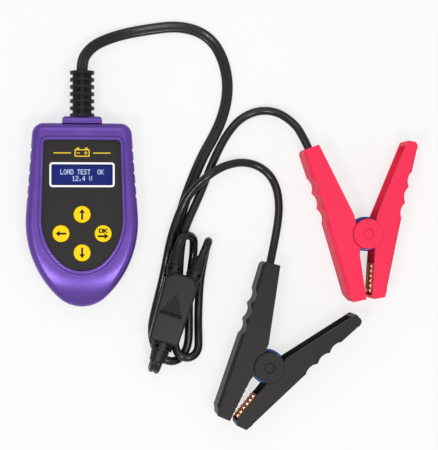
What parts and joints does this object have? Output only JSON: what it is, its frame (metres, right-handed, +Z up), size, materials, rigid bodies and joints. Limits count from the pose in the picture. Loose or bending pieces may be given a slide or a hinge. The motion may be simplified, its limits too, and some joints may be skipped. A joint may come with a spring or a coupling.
{
  "type": "battery tester",
  "caption": "Handheld battery tester with display and keypad, flat twin cable, junction box, and sprung toothed clamps on leads.",
  "frame": {"origin": "centre of the tester's flat rear face, which lies on the floor", "axes": "+Z up, out of the display face; +Y from the keys to the cable end; +X to the right as the display is read"},
  "size_m": [0.2545, 0.2667, 0.025],
  "materials": {
    "case_purple": "fine moulded satin",
    "overlay_black": "satin printed film",
    "window_clear": "clear",
    "display_blue": "gloss",
    "backlight_white": "matte",
    "board_green": "solder mask",
    "part_black": "matte",
    "ceramic_white": "matte",
    "capacitor_sleeve": "satin",
    "key_yellow": "satin",
    "screw_steel": "plated",
    "core_insulation": "gloss",
    "boot_rubber": "satin",
    "box_black": "satin",
    "crimp_metal": "plain",
    "cable_black": "gloss",
    "grip_red": "satin",
    "grip_black": "satin",
    "spring_blue": "blued",
    "jaw_copper": "plated copper"
  },
  "bodies": {
    "tester": {"black_fixed_grip": "grip_black", "black_fixed_jaw": "jaw_copper", "black_lead": "cable_black", "black_pivot_pin": "grip_black", "black_spring": "spring_blue", "buzzer": "part_black", "case_screws": "screw_steel", "circuit_board": "board_green", "display_window": "window_clear", "face_overlay": "overlay_black", "filter_capacitor": "capacitor_sleeve", "front_shell": "case_purple", "inlet_boot": "boot_rubber", "inner_leads": "core_insulation", "junction_crimps": "crimp_metal", "junction_lower_shell": "box_black", "junction_upper_shell": "box_black", "lcd_backlight": "backlight_white", "lcd_panel": "display_blue", "load_resistor": "ceramic_white", "main_cable": "cable_black", "outlet_boot_left": "boot_rubber", "outlet_boot_right": "boot_rubber", "processor_chip": "part_black", "rear_shell": "case_purple", "red_fixed_grip": "grip_red", "red_fixed_jaw": "jaw_copper", "red_lead": "cable_black", "red_pivot_pin": "grip_red", "red_spring": "spring_blue", "strain_relief": "boot_rubber", "switch_cases": "part_black"},
    "up_key": {"key_up": "key_yellow", "switch_plunger_up": "part_black"},
    "down_key": {"key_down": "key_yellow", "switch_plunger_down": "part_black"},
    "left_key": {"key_left": "key_yellow", "switch_plunger_left": "part_black"},
    "right_key": {"key_right": "key_yellow", "switch_plunger_right": "part_black"},
    "red_clamp_arm": {"red_moving_grip": "grip_red", "red_moving_jaw": "jaw_copper"},
    "black_clamp_arm": {"black_moving_grip": "grip_black", "black_moving_jaw": "jaw_copper"}
  },
  "joints": [
    {"name": "up_key_press", "type": "slide", "parent": "tester", "child": "up_key", "axis": [0, 0, -1], "range_m": [0, 0.0006], "stiffness_N_per_m": 1500, "springref_m": -0.0004},
    {"name": "down_key_press", "type": "slide", "parent": "tester", "child": "down_key", "axis": [0, 0, -1], "range_m": [0, 0.0006], "stiffness_N_per_m": 1500, "springref_m": -0.0004},
    {"name": "left_key_press", "type": "slide", "parent": "tester", "child": "left_key", "axis": [0, 0, -1], "range_m": [0, 0.0006], "stiffness_N_per_m": 1500, "springref_m": -0.0004},
    {"name": "right_key_press", "type": "slide", "parent": "tester", "child": "right_key", "axis": [0, 0, -1], "range_m": [0, 0.0006], "stiffness_N_per_m": 1500, "springref_m": -0.0004},
    {"name": "red_clamp_open", "type": "hinge", "parent": "tester", "child": "red_clamp_arm", "pos_m": [0.1859, -0.0122, 0.012], "axis": [0, 0, 1], "range_deg": [0, 30], "stiffness_Nm_per_rad": 0.9, "springref_deg": -28.65, "deforming": ["red_spring"]},
    {"name": "black_clamp_open", "type": "hinge", "parent": "tester", "child": "black_clamp_arm", "pos_m": [0.1208, -0.099, 0.012], "axis": [0, 0, 1], "range_deg": [0, 30], "stiffness_Nm_per_rad": 0.9, "springref_deg": -28.65, "deforming": ["black_spring"]}
  ]
}
